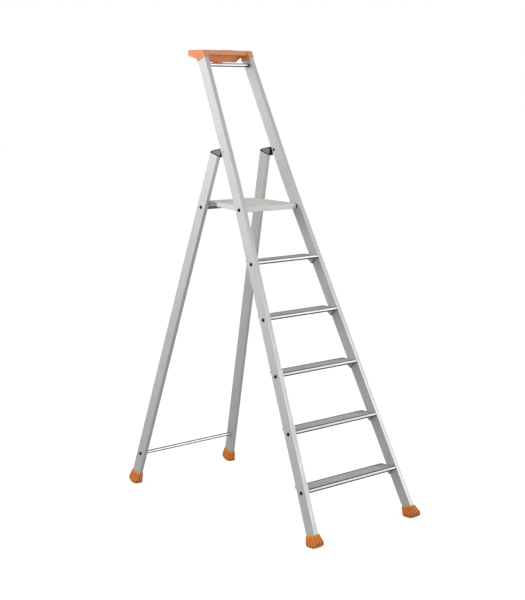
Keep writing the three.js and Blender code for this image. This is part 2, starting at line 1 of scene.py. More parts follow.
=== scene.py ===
"""Studio scene of a platform step ladder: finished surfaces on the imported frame.

Metres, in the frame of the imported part: +X across the ladder, -Y towards the climber, +Z up.
"""

import json
import math

import bmesh
import bpy
import numpy as np
from mathutils import Matrix, Vector
from mathutils.geometry import tessellate_polygon

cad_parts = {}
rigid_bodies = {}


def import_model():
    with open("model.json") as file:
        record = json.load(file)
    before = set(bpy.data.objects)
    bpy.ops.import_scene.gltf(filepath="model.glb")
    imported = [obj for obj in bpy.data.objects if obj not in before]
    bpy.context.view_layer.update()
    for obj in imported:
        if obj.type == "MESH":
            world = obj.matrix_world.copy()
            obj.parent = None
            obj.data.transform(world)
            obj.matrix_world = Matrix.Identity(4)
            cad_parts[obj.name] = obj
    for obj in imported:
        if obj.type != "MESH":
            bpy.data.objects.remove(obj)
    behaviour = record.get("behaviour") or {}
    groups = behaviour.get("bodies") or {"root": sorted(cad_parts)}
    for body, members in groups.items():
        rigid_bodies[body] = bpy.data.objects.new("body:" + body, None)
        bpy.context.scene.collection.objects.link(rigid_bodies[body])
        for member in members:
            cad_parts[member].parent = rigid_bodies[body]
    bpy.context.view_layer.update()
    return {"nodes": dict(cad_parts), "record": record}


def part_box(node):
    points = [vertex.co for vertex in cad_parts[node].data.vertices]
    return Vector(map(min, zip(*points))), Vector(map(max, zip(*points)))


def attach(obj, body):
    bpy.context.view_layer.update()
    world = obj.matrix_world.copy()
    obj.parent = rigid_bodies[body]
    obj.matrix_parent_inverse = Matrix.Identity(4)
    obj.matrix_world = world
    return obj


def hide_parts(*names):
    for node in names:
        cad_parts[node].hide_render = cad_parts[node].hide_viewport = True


for leftover in list(bpy.data.objects):
    bpy.data.objects.remove(leftover)

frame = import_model()

NODES = frame["nodes"]
RECORD = frame["record"]
BODY_OF = {n: body for body, names in RECORD["behaviour"]["bodies"].items() for n in names}
JOINT_AT = {j["name"]: Vector(j["pos_m"]) for j in RECORD["behaviour"]["joints"]}
SIDES = {"left": -1, "right": 1}
MM = 0.001

# The members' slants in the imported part.
FRONT_LEAN = math.radians(24.42)
REAR_LEAN = math.radians(16.0)
PLATFORM_TILT = math.radians(2.4)

# How noise is stretched into die lines along a slanting member or along x, by axis.
ALONG_MEMBER = (60.0, 260.0, 3.0)
ACROSS = (3.0, 260.0, 260.0)
EVENLY = (30.0, 30.0, 30.0)

# Depths of the fine relief that the materials' bump stands for.
DIE_LINE_DEPTH = 0.06 * MM
MOULD_GRAIN_DEPTH = 0.12 * MM
GRIT_DEPTH = 0.2 * MM


# ---- Materials ---------------------------------------------------------------
class Shader:
    """A node material under construction, ending in one Principled shader."""

    def __init__(self, name, colour, roughness, metallic=0.0, specular=0.5):
        self.material = bpy.data.materials.new(name)
        self.material.use_nodes = True
        self.tree = self.material.node_tree
        self.principled = self.tree.nodes["Principled BSDF"]
        self.principled.inputs["Base Color"].default_value = (*colour, 1.0)
        self.principled.inputs["Roughness"].default_value = roughness
        self.principled.inputs["Metallic"].default_value = metallic
        self.principled.inputs["Specular IOR Level"].default_value = specular
        self.place = self.tree.nodes.new("ShaderNodeTexCoord").outputs["Object"]
        self.height = None

    def node(self, kind, **values):
        made = self.tree.nodes.new(kind)
        for key, value in values.items():
            setattr(made, key, value)
        return made

    def link(self, start, end):
        self.tree.links.new(start, end)

    def noise(self, scale, detail=3.0, stretch=(1.0, 1.0, 1.0), turn=0.0):
        """Noise in object space, its coordinates turned about X and stretched by axis."""
        turned = self.node("ShaderNodeMapping")
        turned.inputs["Rotation"].default_value = (turn, 0.0, 0.0)
        self.link(self.place, turned.inputs["Vector"])
        stretched = self.node("ShaderNodeMapping")
        stretched.inputs["Scale"].default_value = stretch
        self.link(turned.outputs["Vector"], stretched.inputs["Vector"])
        texture = self.node("ShaderNodeTexNoise")
        texture.inputs["Scale"].default_value = scale
        texture.inputs["Detail"].default_value = detail
        self.link(stretched.outputs["Vector"], texture.inputs["Vector"])
        return texture.outputs["Fac"]

    def ranged(self, value, low, high, source=(0.3, 0.7)):
        mapped = self.node("ShaderNodeMapRange")
        mapped.inputs["From Min"].default_value = source[0]
        mapped.inputs["From Max"].default_value = source[1]
        mapped.inputs["To Min"].default_value = low
        mapped.inputs["To Max"].default_value = high
        self.link(value, mapped.inputs["Value"])
        return mapped.outputs["Result"]

    def colour_between(self, value, first, second):
        mix = self.node("ShaderNodeMix", data_type="RGBA")
        self.link(value, mix.inputs["Factor"])
        for socket, colour in ((mix.inputs[6], first), (mix.inputs[7], second)):
            if isinstance(colour, bpy.types.NodeSocket):
                self.link(colour, socket)
            else:
                socket.default_value = (*colour, 1.0)
        return mix.outputs[2]

    def colour(self, value):
        self.link(value, self.principled.inputs["Base Color"])

    def roughness(self, value):
        self.link(value, self.principled.inputs["Roughness"])

    def bump(self, value, strength, distance):
        bump = self.node("ShaderNodeBump")
        bump.inputs["Strength"].default_value = strength
        bump.inputs["Distance"].default_value = distance
        self.link(value, bump.inputs["Height"])
        if self.height is not None:
            self.link(self.height, bump.inputs["Normal"])
        self.height = bump.outputs["Normal"]
        self.link(self.height, self.principled.inputs["Normal"])


# Painted shadow colour for the ends of a nose, where it meets the stiles.
GAP_SHADOW = (0.03, 0.03, 0.03)
# Height of the shoes' darkened band by the floor: dirt and painted shade.
DIRT_AND_SHADE_HEIGHT = 20 * MM


def shade(colour, factor):
    return tuple(channel * factor for channel in colour)


def extruded_metal(name, colour, roughness, metallic=0.7, stretch=ACROSS, turn=0.0,
                   gap_shadow_ends=0.0):
    """Anodised aluminium with fine die lines along the profile and faint handling marks.

    roughness is the range that the handling marks cover. The last argument is the share of the
    piece's length along x that is darkened at either end, a painted shadow of the gap beside the
    part that it meets.
    """
    look = Shader(name, colour, roughness[0], metallic)
    lines = look.noise(1.0, 4.0, stretch, turn)
    smudge = look.noise(9.0, 4.0)
    bare = look.colour_between(
        look.ranged(lines, 0.0, 1.0),
        look.colour_between(look.ranged(smudge, 0.0, 1.0), shade(colour, 0.965), colour),
        shade(colour, 1.03),
    )
    # Painted gap shadow, darkening both ends along x.
    if gap_shadow_ends:
        share = look.node("ShaderNodeSeparateXYZ")
        look.link(look.node("ShaderNodeTexCoord").outputs["Generated"], share.inputs["Vector"])
        for low, high in ((0.0, gap_shadow_ends), (1.0, 1.0 - gap_shadow_ends)):
            undarkened = look.ranged(share.outputs["X"], 0.0, 1.0, source=(low, high))
            bare = look.colour_between(undarkened, GAP_SHADOW, bare)
    look.colour(bare)
    look.roughness(look.ranged(smudge, *roughness))
    look.bump(lines, 0.25, DIE_LINE_DEPTH)
    return look.material


def drawn_tube(name, colour, edge):
    """Bright drawn tube, darkened towards the colour edge along its top and its underside, a
    painted dark reflection."""
    look = Shader(name, colour, 0.3, 0.8)
    lines = look.noise(1.0, 4.0, ACROSS)
    facing = look.node("ShaderNodeSeparateXYZ")
    look.link(look.node("ShaderNodeTexCoord").outputs["Normal"], facing.inputs["Vector"])
    steep = look.node("ShaderNodeMath", operation="SUBTRACT")
    look.link(facing.outputs["Z"], steep.inputs[0])
    steep.inputs[1].default_value = 0.15
    away = look.node("ShaderNodeMath", operation="ABSOLUTE")
    look.link(steep.outputs[0], away.inputs[0])
    # Painted dark reflection: faces turned well up or down take the dark colour.
    painted_band = look.ranged(away.outputs[0], 0.0, 1.0, source=(0.3, 0.72))
    undarkened = look.colour_between(look.ranged(lines, 0.0, 1.0), shade(colour, 0.95), colour)
    look.colour(look.colour_between(painted_band, undarkened, edge))
    look.roughness(look.ranged(lines, 0.24, 0.34))
    look.bump(lines, 0.25, DIE_LINE_DEPTH)
    return look.material


def moulded_plastic(name, colour, roughness=(0.36, 0.5), grain=0.12, specular=0.45):
    """Spark-eroded moulding texture, as strong as grain, with slow colour drift."""
    look = Shader(name, colour, roughness[0], specular=specular)
    drift = look.noise(14.0, 3.0)
    texture = look.noise(1100.0, 2.0)
    look.colour(look.colour_between(
        look.ranged(drift, 0.0, 1.0), shade(colour, 0.93), shade(colour, 1.04)))
    look.roughness(look.ranged(drift, *roughness))
    look.bump(texture, grain, MOULD_GRAIN_DEPTH)
    return look.material


def rubber_darkened_low(name, colour, dirt_and_shade):
    """Shoe rubber, darkened towards its last colour in the lowest 20 mm above the floor, for dirt
    and painted shade.
    """
    look = Shader(name, colour, 0.5, specular=0.35)
    drift = look.noise(40.0, 4.0)
    grit = look.noise(420.0, 3.0)
    axes = look.node("ShaderNodeSeparateXYZ")
    look.link(look.place, axes.inputs["Vector"])
    # Dirt and painted shade, darker towards the floor.
    undarkened = look.ranged(axes.outputs["Z"], 0.0, 1.0, source=(0.0, DIRT_AND_SHADE_HEIGHT))
    base = look.colour_between(
        look.ranged(drift, 0.0, 1.0), shade(colour, 0.86), shade(colour, 1.06))
    look.colour(look.colour_between(undarkened, dirt_and_shade, base))
    look.roughness(look.ranged(drift, 0.5, 0.66))
    look.bump(grit, 0.2, GRIT_DEPTH)
    return look.material


STILE_METAL = extruded_metal(
    "stile_metal", (0.70, 0.705, 0.70), (0.45, 0.55), stretch=ALONG_MEMBER, turn=FRONT_LEAN)
LEG_METAL = extruded_metal(
    "leg_metal", (0.67, 0.68, 0.675), (0.45, 0.55), stretch=ALONG_MEMBER, turn=-REAR_LEAN)
TREAD_METAL = extruded_metal("tread_metal", (0.54, 0.525, 0.52), (0.45, 0.58), 0.4)
# Painted highlight: the nose is a lit copy of the tread metal, far brighter than it, with painted
# gap shadow at its ends.
LIT_NOSE_METAL = extruded_metal("lit_nose_metal", (0.93, 0.93, 0.92), (0.3, 0.4), 0.5, gap_shadow_ends=0.012)
SHADED_METAL = extruded_metal("shaded_metal", (0.055, 0.055, 0.054), (0.6, 0.7), 0.3)
# Painted shade, dim: along the treads' top edges, on their ends and on the crossbar's lower faces.
DIM_SHADE_METAL = extruded_metal("dim_shade_metal", (0.20, 0.195, 0.19), (0.5, 0.6), 0.4)
DECK_METAL = extruded_metal("deck_metal", (0.84, 0.825, 0.785), (0.5, 0.62), 0.2)
# Its second colour is a painted dark reflection along the tubes' tops and undersides.
TUBE_METAL = drawn_tube("tube_metal", (0.92, 0.90, 0.885), (0.11, 0.105, 0.10))
BAR_METAL = extruded_metal("bar_metal", (0.60, 0.61, 0.59), (0.45, 0.55))
PRESSED_METAL = extruded_metal(
    "pressed_metal", (0.72, 0.72, 0.71), (0.4, 0.55), 0.6, stretch=EVENLY)
PIN_METAL = extruded_metal("pin_metal", (0.62, 0.62, 0.63), (0.25, 0.35), 0.9)
BLACK_STEEL = moulded_plastic("black_steel", (0.006, 0.006, 0.007), (0.4, 0.5), 0.08, 0.3)
BLACK_PLASTIC = moulded_plastic("black_plastic", (0.010, 0.010, 0.011), (0.45, 0.6), specular=0.3)
GREY_PLASTIC = moulded_plastic("grey_plastic", (0.25, 0.255, 0.26), (0.45, 0.6))
ORANGE_PLASTIC = moulded_plastic("orange_plastic", (0.96, 0.36, 0.15))
SHOE_RUBBER = rubber_darkened_low("shoe_rubber", (0.93, 0.31, 0.058), (0.62, 0.18, 0.035))
# Painted shade: a darker copy of the rubber for the flutes' grooves and the sole's inner
# underside, and a dark sole for the lug gaps and underside, dirt with painted shade.
SHOE_GROOVE_SHADE = rubber_darkened_low("shoe_groove_shade", (0.42, 0.095, 0.018), (0.20, 0.05, 0.012))
SHOE_SOLE_DIRT_AND_SHADE = rubber_darkened_low("shoe_sole_dirt_and_shade", (0.16, 0.042, 0.014), (0.07, 0.02, 0.01))


# ---- Mesh helpers ------------------------------------------------------------
SAME_POINT = 0.002 * MM
SAME_PLANE = math.radians(0.2)
SHARP_EDGE = math.radians(28.0)
SMOOTH_UNDER = 32.0              # degrees between faces that shade as one surface


def smoothed(piece, smooth_under):
    """Smooth shading that keeps wide flat faces flat beside their rounded edges."""
    piece.data.shade_smooth()
    piece.data.set_sharp_from_angle(angle=math.radians(smooth_under))
    weigh = piece.modifiers.new("weigh", "WEIGHTED_NORMAL")
    weigh.keep_sharp = True
    weigh.weight = 100
    graph = bpy.context.evaluated_depsgraph_get()
    mesh = bpy.data.meshes.new_from_object(piece.evaluated_get(graph))
    piece.modifiers.clear()
    piece.data = mesh


def finished(name, work, node, material, smooth_under=SMOOTH_UNDER, replaces=True):
    """A closed mesh as an object that rides as the CAD node does.

    material is one material, or a tuple that the faces' numbers pick from. replaces says
    whether the piece takes the node's place or stands beside it.
    """
    bmesh.ops.recalc_face_normals(work, faces=work.faces)
    mesh = bpy.data.meshes.new(name)
    work.to_mesh(mesh)
    work.free()
    for one in material if isinstance(material, tuple) else (material,):
        mesh.materials.append(one)
    piece = bpy.data.objects.new(name, mesh)
    bpy.context.scene.collection.objects.link(piece)
    smoothed(piece, smooth_under)
    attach(piece, BODY_OF[node])
    if replaces:
        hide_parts(node)
    return piece


def welded(node):
    """The node's own mesh with shared corners and flat faces made whole."""
    work = bmesh.new()
    work.from_mesh(NODES[node].data)
    bmesh.ops.remove_doubles(work, verts=work.verts, dist=SAME_POINT)
    bmesh.ops.dissolve_limit(
        work, angle_limit=SAME_PLANE, use_dissolve_boundaries=False,
        verts=work.verts, edges=work.edges,
    )
    return work


def rounded(node, material, width, segments=3):
    """The node with its sharp edges rounded off."""
    work = welded(node)
    sharp = [
        e for e in work.edges if len(e.link_faces) == 2 and e.calc_face_angle() > SHARP_EDGE
    ]
    bmesh.ops.bevel(
        work, geom=sharp, offset=width, offset_type="OFFSET", segments=segments,
        profile=0.5, affect="EDGES", clamp_overlap=True, loop_slide=True,
    )
    return finished(node + "_surface", work, node, material)


def filleted(corners, steps=4):
    """A closed outline from (a, b) or (a, b, radius) corners, each radius cut as an arc."""
    points = []
    for i, corner in enumerate(corners):
        at = Vector(corner[:2])
        radius = corner[2] if len(corner) > 2 else 0.0
        if radius <= 0.0:
            points.append(at)
            continue
        before = Vector(corners[i - 1][:2]) - at
        after = Vector(corners[(i + 1) % len(corners)][:2]) - at
        half = before.angle(after) / 2
        longest = 0.49 * min(before.length, after.length)
        reach = min(radius / math.tan(half), longest)
        bisector = (before.normalized() + after.normalized()).normalized()
        centre = at + bisector * (reach / math.cos(half))
        first = at + before.normalized() * reach - centre
        turn = first.angle_signed(at + after.normalized() * reach - centre)
        for k in range(steps + 1):
            points.append(centre + Matrix.Rotation(-turn * k / steps, 2) @ first)
    return points


def circle(centre, radius, count=40):
    return [
        Vector(centre) + radius * Vector((math.cos(a), math.sin(a)))
        for a in (2 * math.pi * k / count for k in range(count))
    ]


def end_faces(node):
    """x = a + b*y + c*z on the node's low and high end faces, from its own corners."""
    corners = np.array([v.co for v in NODES[node].data.vertices])
    middle = (corners[:, 0].min() + corners[:, 0].max()) / 2
    faces = []
    for end in (corners[corners[:, 0] < middle], corners[corners[:, 0] > middle]):
        terms = np.column_stack([np.ones(len(end)), end[:, 1], end[:, 2]])
        faces.append(np.linalg.lstsq(terms, end[:, 0], rcond=None)[0])
    return faces


def extrusion(node, loops, material, finish_of=lambda y, z: 0, end_finish=0):
    """A profile of (y, z) loops, outline first, between the node's own end faces.

    finish_of gives the number of a side face's material from the middle of its edge, and
    end_finish is that of both ends.
    """
    work = bmesh.new()
    low, high = end_faces(node)
    ends = []
    for a, b, c in (low, high):
        ends.append([
            [work.verts.new((a + b * y + c * z, y, z)) for y, z in loop] for loop in loops
        ])
    for first, second in zip(*ends):
        for i, vert in enumerate(first):
            j = (i + 1) % len(first)
            face = work.faces.new((vert, first[j], second[j], second[i]))
            face.material_index = finish_of(*((vert.co + first[j].co) / 2).yz)
    flat = [[Vector((y, z, 0)) for y, z in loop] for loop in loops]
    for end in ends:
        corners = [vert for loop in end for vert in loop]
        for triangle in tessellate_polygon(flat):
            work.faces.new([corners[i] for i in triangle]).material_index = end_finish
    return finished(node + "_surface", work, node, material)


def lathe(work, profile, origin, axis, count, hexed=()):
    """Rings of (radius, distance along axis). Rings listed in hexed follow a hexagon."""
    turn = Vector((0, 0, 1)).rotation_difference(axis).to_matrix()
    rings = []
    for index, (radius, along) in enumerate(profile):
        if radius == 0:
            rings.append([work.verts.new(origin + axis * along)])
            continue
        ring = []
        for k in range(count):
            angle = 2 * math.pi * k / count
            reach = radius
            if index in hexed:
                reach = radius / math.cos((angle + math.pi / 6) % (math.pi / 3) - math.pi / 6)
            spot = Vector((reach * math.cos(angle), reach * math.sin(angle), along))
            ring.append(work.verts.new(origin + turn @ spot))
        rings.append(ring)
    for first, second in zip(rings, rings[1:]):
        for k in range(count):
            quad = [first[k % len(first)], first[(k + 1) % len(first)],
                    second[(k + 1) % len(second)], second[k % len(second)]]
            work.faces.new(list(dict.fromkeys(quad)))


# ---- Members -----------------------------------------------------------------
MEMBER_EDGE, GUSSET_EDGE, BAR_EDGE = 1.1 * MM, 0.6 * MM, 0.8 * MM
TUBE_WALL, COLLAR_WALL, BUSH_WALL = 1.8 * MM, 3.2 * MM, 7.6 * MM
# Painted shade on the crossbar below this height:
BAR_SHADED_BELOW = -2 * MM         # of the crossbar's middle height

# A gusset's front edge is folded towards the middle of the ladder. The flange runs from
# behind the tread's nose to the gusset's foot.
FLANGE_WIDTH, FLANGE_THICKNESS = 7.0 * MM, 2.0 * MM
FLANGE_TOP = (8.0 * MM, 3.6 * MM)    # behind the tread's front, below the gusset's top
FLANGE_FOOT = (40.0 * MM, 0.2 * MM)  # behind the tread's front, above the gusset's foot
FLANGE_TRIM = (2.0 * MM, 1.0 * MM)   # left off its length at the top and at the foot
FLANGE_OVERLAP = 1.2 * MM            # into the gusset's own plate
FLANGE_REACH = 20 * MM               # heights of the gusset that tell where its plate is


def flange(name):
    """The folded front edge of one gusset, with painted shade on the side that faces the tread."""
    low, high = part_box(name)
    side = 1 if low.x > 0 else -1
    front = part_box("tread_" + name.split("_")[2])[0].y
    top = Vector((front + FLANGE_TOP[0], high.z - FLANGE_TOP[1]))
    foot = Vector((front + FLANGE_FOOT[0], low.z + FLANGE_FOOT[1]))
    along = (foot - top).normalized()
    across = Vector((-along.y, along.x)) * FLANGE_THICKNESS
    start, end = top + along * FLANGE_TRIM[0], foot - along * FLANGE_TRIM[1]
    work = bmesh.new()
    rings = []
    for width in (0.0, FLANGE_WIDTH):
        ring = []
        for point in (start, end, end + across, start + across):
            plate = [v.co.x for v in NODES[name].data.vertices
                     if abs(v.co.z - point.y) < FLANGE_REACH]
            base = min(plate, key=lambda x: side * x) + side * FLANGE_OVERLAP
            ring.append(work.verts.new((base - side * width, *point)))
        rings.append(ring)
    for i in range(4):
        j = (i + 1) % 4
        face = work.faces.new((rings[0][i], rings[0][j], rings[1][j], rings[1][i]))
        # Painted shade on the face towards the tread.
        face.material_index = int(i == 0)
    work.faces.new(rings[0])
    work.faces.new(rings[1])
    finished(name + "_flange", work, name, (PRESSED_METAL, SHADED_METAL), replaces=False)


def round_tube(node, wall, material):
    low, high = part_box(node)
    centre = ((low.y + high.y) / 2, (low.z + high.z) / 2)
    radius = max(high.y - low.y, high.z - low.z) / 2
    extrusion(node, [circle(centre, radius), circle(centre, radius - wall)], material)


for word in SIDES:
    rounded(f"front_stile_{word}", STILE_METAL, MEMBER_EDGE)
    rounded(f"rear_leg_{word}", LEG_METAL, MEMBER_EDGE)

gussets = [name for name in NODES if name.startswith("tread_bracket_")]
for name in gussets:
    rounded(name, PRESSED_METAL, GUSSET_EDGE, 2)
for name in gussets:
    flange(name)

round_tube("top_rail", TUBE_WALL, TUBE_METAL)
round_tube("rear_tube", TUBE_WALL, TUBE_METAL)
for word in SIDES:
    round_tube(f"top_rail_collar_{word}", COLLAR_WALL, BLACK_PLASTIC)
    round_tube(f"platform_bush_{word}", BUSH_WALL, BLACK_PLASTIC)
bar = rounded("rear_crossbar", BAR_METAL, BAR_EDGE)
# Painted shade: the crossbar's faces below its middle take the dim metal.
bar.data.materials.append(DIM_SHADE_METAL)
middle = sum(corner.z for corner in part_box("rear_crossbar")) / 2
for face in bar.data.polygons:
    face.material_index = int(face.center.z < middle + BAR_SHADED_BELOW)


# ---- Treads and platform -----------------------------------------------------
# Profiles are corners of (depth, height, radius) in millimetres, taken round the outline.
RIB_SHARE, RIB_SLOPE = 0.58, 0.35    # of a rib's top in its pitch, and of its flanks


def rib_row(start, end, pitch, height):
    """Rounded ribs along a walking surface, as corners from start to end."""
    corners = []
    for k in range(int((end - start) / pitch)):
        rise = start + k * pitch
        fall = rise + RIB_SHARE * pitch
        corners += [
            (rise, -height, 0.2), (rise + RIB_SLOPE, 0, 0.35),
            (fall, 0, 0.35), (fall + RIB_SLOPE, -height, 0.2),
        ]
    return corners


TREAD_DEPTH = 92.5
TREAD_LOOKS = (TREAD_METAL, LIT_NOSE_METAL, SHADED_METAL, DIM_SHADE_METAL)
PLAIN, NOSE_LIT, DARK, EDGE_SHADE = range(4)

# Painted light on a tread: a lit nose, painted shade under it and in its groove, and painted shade
# along the top's front and rear edges outside the middle span.
# Where a tread's finishes change: depths from its front, and heights from its top.
NOSE_BACK, NOSE_FOOT, GROOVE_BACK = 8.6, -8.1, 12.6
UNSHADED_FROM, UNSHADED_TO, TOP_BAND = 21.0, TREAD_DEPTH - 11.0, -2.0

tread_profile = (
    [(2.6, -14, 0.8), (2.6, -8.2, 0.3), (0, -8.2, 1.6), (0, 0, 3.6), (8.4, 0, 0.5),
     (8.8, -2.1, 0.2), (12.2, -2.1, 0.2), (12.6, 0, 0.4)]
    + rib_row(14.6, TREAD_DEPTH - 5, 4.1, 0.9)
    + [(TREAD_DEPTH - 3.4, 0, 0.5), (TREAD_DEPTH, 0, 1.4), (TREAD_DEPTH, -12, 1.2),
       (TREAD_DEPTH - 3.4, -12, 1.2), (TREAD_DEPTH - 3.4, -3, 1.0), (6, -3, 1.0), (6, -14, 0.8)]
)


def tread(name):
    low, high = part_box(name)

    def finish(y, z):
        """A lit copy of the metal on the nose, painted shade under it and in the groove, and
        painted shade along both edges of the ribbed top.
        """
        depth, height = (y - low.y) / MM, (z - high.z) / MM
        if depth < NOSE_BACK and height > NOSE_FOOT:
            return NOSE_LIT
        if depth < GROOVE_BACK:
            return DARK
        return EDGE_SHADE if height > TOP_BAND and not UNSHADED_FROM < depth < UNSHADED_TO else PLAIN

    loop = [(low.y + p.x * MM, high.z + p.y * MM) for p in filleted(tread_profile, 3)]
    # The ends take painted shade as well.
    extrusion(name, [loop], TREAD_LOOKS, finish, end_finish=EDGE_SHADE)


for name in NODES:
    if name.startswith("tread_") and name[6:].isdigit():
        tread(name)

# The deck's profile is drawn about the platform's pivot and tilted with it.
DECK_FRONT, DECK_REAR, DECK_TOP, DECK_BOTTOM = -8, 292, 12, -13
DECK_UNDER = DECK_TOP - 3            # underside of the deck plate
DECK_WEB_BACKS, WEB_THICKNESS = (200, 115), 3
PLATE_EDGE = 0.9 * MM

deck_webs = [
    corner
    for back in DECK_WEB_BACKS
    for corner in ((back, DECK_UNDER, 1.0), (back, 0, 0.8),
                   (back - WEB_THICKNESS, 0, 0.8), (back - WEB_THICKNESS, DECK_UNDER, 1.0))
]
deck_profile = (
    [(DECK_FRONT, DECK_BOTTOM, 2.0), (DECK_FRONT, DECK_TOP, 4.5), (11, DECK_TOP, 0.5),
     (11.3, DECK_TOP - 1.2, 0.2), (13.4, DECK_TOP - 1.2, 0.2), (13.8, DECK_TOP, 0.4)]
    + [(a, b + DECK_TOP, r) for a, b, r in rib_row(16, DECK_REAR - 8, 5.1, 0.8)]
    + [(DECK_REAR - 4, DECK_TOP, 0.4), (DECK_REAR, DECK_TOP, 1.8), (DECK_REAR, -2, 1.2),
       (DECK_REAR - 3, -2, 1.2), (DECK_REAR - 3, DECK_UNDER, 1.0)]
    + deck_webs
    + [(24, DECK_UNDER, 1.0), (24, DECK_BOTTOM, 2.0)]
)
deck_chamber = [(-5, -10, 1.5), (-5, 7.5, 1.5), (21, 7.5, 1.5), (21, -10, 1.5)]


def on_platform(profile):
    """A profile's outline as (y, z) loop of the tilted platform, in metres."""
    pivot = JOINT_AT["platform_fold"]
    c, s = math.cos(PLATFORM_TILT), math.sin(PLATFORM_TILT)
    return [
        (pivot.y + p.x * MM * c - p.y * MM * s, pivot.z + p.x * MM * s + p.y * MM * c)
        for p in filleted(profile, 3)
    ]


extrusion("platform_deck", [on_platform(deck_profile), on_platform(deck_chamber)], DECK_METAL)
for word in SIDES:
    rounded(f"platform_side_{word}", DECK_METAL, PLATE_EDGE)


# ---- Fasteners ---------------------------------------------------------------
SHANK, SOCKET = 3.8 * MM, 2.2 * MM   # radii
HEAD_HEIGHT = 4.6 * MM
SCREW_EDGE = 0.4 * MM


def bolt(node, side):
    """A button-head bolt with a hexagon socket, on the CAD bolt's own axis."""
    corners = np.array([v.co for v in NODES[node].data.vertices])
    centre = corners.mean(axis=0)
    axis = np.linalg.svd(corners - centre)[2][0]
    axis = Vector(axis * np.sign(axis[0]) * side)
    along = (corners - centre) @ np.array(axis)
    across = np.linalg.norm(corners - centre - np.outer(along, np.array(axis)), axis=1)
    head = across.max()
    face = along.max() - HEAD_HEIGHT
    tip = along.min() - face
    origin = Vector(centre) + axis * face
    shank = [(0, tip), (SHANK - 0.4 * MM, tip), (SHANK, tip + 0.5 * MM), (SHANK, 0.3 * MM)]
    dome = [
        (head - 0.3 * MM, 0.3 * MM), (head, 0.6 * MM), (head, 1.5 * MM), (0.93 * head, 2.6 * MM),
        (0.78 * head, 3.7 * MM), (0.62 * head, 4.3 * MM), (0.5 * head, 4.55 * MM),
    ]
    socket = [
        (SOCKET + 0.15 * MM, HEAD_HEIGHT), (SOCKET, HEAD_HEIGHT - 0.2 * MM),
        (SOCKET, 2.0 * MM), (0, 1.4 * MM),
    ]
    hexed = [len(shank + dome) + k for k in range(3)]
    work = bmesh.new()
    lathe(work, shank + dome + socket, origin, axis, 48, hexed)
    finished(node + "_surface", work, node, BLACK_STEEL)


def hinge_pin(node, side):
    """A riveted pin, turned about its own middle, with its inner end blackened."""
    low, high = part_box(node)
    centre = (low + high) / 2
    reach = (high.x - low.x) / 2
    shoulder = reach - 2.4 * MM
    end = [
        (0, reach - 0.9 * MM), (3.2 * MM, reach - 0.7 * MM), (4.6 * MM, reach),
        (5.8 * MM, reach - 0.3 * MM), (6.5 * MM, reach - 1.0 * MM), (6.5 * MM, shoulder),
        (4.0 * MM, shoulder),
    ]
    work = bmesh.new()
    lathe(work, end + [(r, -x) for r, x in reversed(end)], centre, Vector((1, 0, 0)), 40)
    for face in work.faces:
        if side * (face.calc_center_median().x - centre.x) < 0:
            face.material_index = 1
    finished(node + "_surface", work, node, (PIN_METAL, BLACK_STEEL))


for name in NODES:
    if "_bolt_" in name:
        bolt(name, SIDES[name.rsplit("_", 1)[1]])
for word in SIDES:
    rounded(f"crossbar_screw_{word}", BLACK_STEEL, SCREW_EDGE, 2)
for word, side in SIDES.items():
    hinge_pin(f"hinge_pin_{word}", side)


# ---- Member frames -----------------------------------------------------------
class Member:
    """A stile or leg: (depth, along) in its own slanted plane, and its faces across."""

    def __init__(self, origin, lean, half, taper, width, depth, start):
        self.origin = origin          # (y, z) of depth 0, along 0
        self.lean = lean              # turn about X, in radians
        self.half = half              # half width over the outer faces at along 0
        self.taper = taper
        self.width = width
        self.depth = depth            # (front, back)
        self.start = start            # lower end, along the member

    def outer(self, along):
        return self.half - self.taper * along

    def middle(self, along):
        return self.outer(along) - self.width / 2

    def at(self, side, x, depth, along):
        """World point from a distance x off the middle plane, in millimetres."""
        c, s = math.cos(self.lean), math.sin(self.lean)
        return MM * Vector((
            side * x,
            self.origin[0] + depth * c - along * s,
            self.origin[1] + depth * s + along * c,
        ))

    def floor(self, depth):
        """Along-distance at which a depth meets the floor."""
        return -(self.origin[1] + depth * math.sin(self.lean)) / math.cos(self.lean)


hinge = JOINT_AT["rear_frame_fold"]
STILE = Member(
    origin=(-692.4, 0.0), lean=-FRONT_LEAN, half=324.9, taper=0.0870, width=24.0,
    depth=(0.0, 53.5), start=38.0)
LEG = Member(
    origin=(hinge.y / MM, hinge.z / MM), lean=REAR_LEAN, half=162.8, taper=0.0884, width=21.2,
    depth=(37.7, 91.4), start=-1733.0)
LEG_TOP = -35.0


# ---- Hinge caps --------------------------------------------------------------
def prism(work, loop, side, low, high):
    """A closed prism from a (depth, along) loop of the leg between two faces across."""
    rings = [
        [work.verts.new(LEG.at(side, x(q), p, q)) for p, q in loop] for x in (low, high)
    ]
    for i in range(len(loop)):
        j = (i + 1) % len(loop)
        work.faces.new((rings[0][i], rings[0][j], rings[1][j], rings[1][i]))
    flat = [[Vector((p, q, 0)) for p, q in loop]]
    for ring in rings:
        for triangle in tessellate_polygon(flat):
            work.faces.new([ring[i] for i in triangle])


def carve(piece, work):
    """Cuts the closed mesh in work out of a piece."""
    bmesh.ops.recalc_face_normals(work, faces=work.faces)
    mesh = bpy.data.meshes.new("tool")
    work.to_mesh(mesh)
    work.free()
    tool = bpy.data.objects.new("tool", mesh)
    bpy.context.scene.collection.objects.link(tool)
    step = piece.modifiers.new("carve", "BOOLEAN")
    step.operation = "DIFFERENCE"
    step.solver = "EXACT"
    step.object = tool
    graph = bpy.context.evaluated_depsgraph_get()
    result = bpy.data.meshes.new_from_object(piece.evaluated_get(graph))
    piece.modifiers.clear()
    piece.data = result
    bpy.data.objects.remove(tool)
    smoothed(piece, SMOOTH_UNDER)


